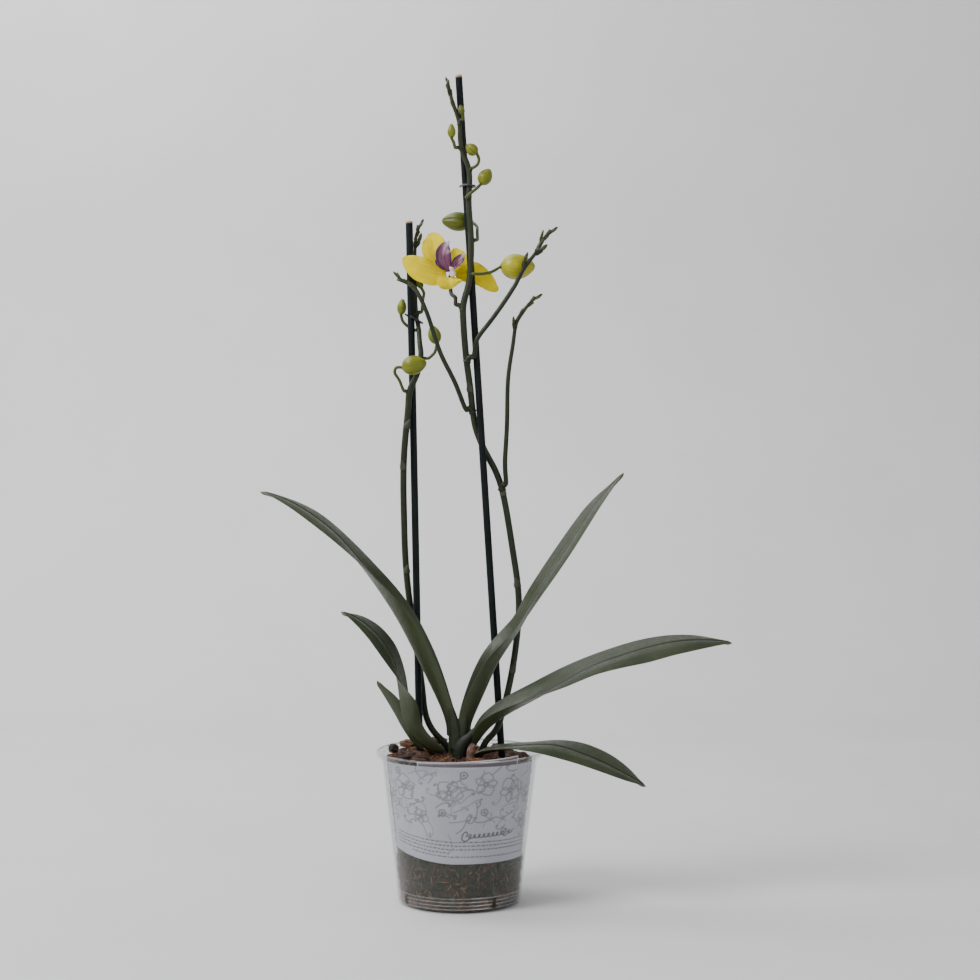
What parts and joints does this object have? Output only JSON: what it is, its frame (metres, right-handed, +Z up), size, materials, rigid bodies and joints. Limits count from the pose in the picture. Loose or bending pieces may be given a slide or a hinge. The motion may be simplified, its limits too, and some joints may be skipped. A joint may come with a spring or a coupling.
{
  "type": "potted orchid",
  "caption": "Moth orchid in a clear nursery pot: strap leaves, two flower spikes tied to canes, closed buds and one open yellow flower with a purple lip.",
  "frame": {"origin": "centre of the pot's flat underside, where it stands", "axes": "+Z up; the printed side of the pot and the open flower face -Y; +X is to the viewer's right"},
  "size_m": [0.3446, 0.122, 0.6071],
  "materials": {
    "clear_plastic": "gloss",
    "sleeve_paper": "satin",
    "card": "gloss",
    "cane": "satin",
    "clip_plastic": "satin",
    "bark_mix": "matte",
    "bark": "matte",
    "root": "matte",
    "dry_stem": "matte",
    "leaf_sheath": "satin",
    "leaf": "satin",
    "stem": "satin",
    "bud": "satin",
    "petal": "satin",
    "lip": "satin",
    "column": "satin"
  },
  "bodies": {
    "root": {"bark_chip_1": "bark", "bark_chip_2": "bark", "bark_chip_3": "bark", "bark_chip_4": "bark", "bark_chip_5": "bark", "bark_chip_6": "bark", "bark_chip_7": "bark", "bark_chip_8": "bark", "bark_chip_9": "bark", "branch_left": "stem", "branch_lower_right": "stem", "branch_upper_right": "stem", "bud_behind_petal": "bud", "bud_left_1": "bud", "bud_left_2": "bud", "bud_left_3": "bud", "bud_right_1": "bud", "bud_right_2": "bud", "bud_right_3": "bud", "bud_right_4": "bud", "bud_right_5": "bud", "bud_right_6": "bud", "cane_left": "cane", "cane_right": "cane", "care_card": "card", "clear_pot": "clear_plastic", "clip_left": "clip_plastic", "clip_right": "clip_plastic", "column": "column", "crown": "leaf_sheath", "flower_stalk": "stem", "leaf_lower_left": "leaf", "leaf_lower_right": "leaf", "leaf_middle_left": "leaf", "leaf_middle_right": "leaf", "leaf_upper_left": "leaf", "leaf_upper_right": "leaf", "lip": "lip", "old_stem_stump": "dry_stem", "petal_left": "petal", "petal_right": "petal", "potting_bark": "bark_mix", "printed_sleeve": "sleeve_paper", "root_1": "root", "root_2": "root", "root_3": "root", "root_4": "root", "root_5": "root", "sepal_bottom": "petal", "sepal_upper_left": "petal", "sepal_upper_right": "petal", "spike_left": "stem", "spike_right": "stem", "tip_bud_branch_1": "stem", "tip_bud_branch_2": "stem", "tip_bud_branch_3": "stem", "tip_bud_left": "stem", "tip_bud_lower_branch": "stem", "tip_bud_right": "stem"}
  },
  "joints": []
}
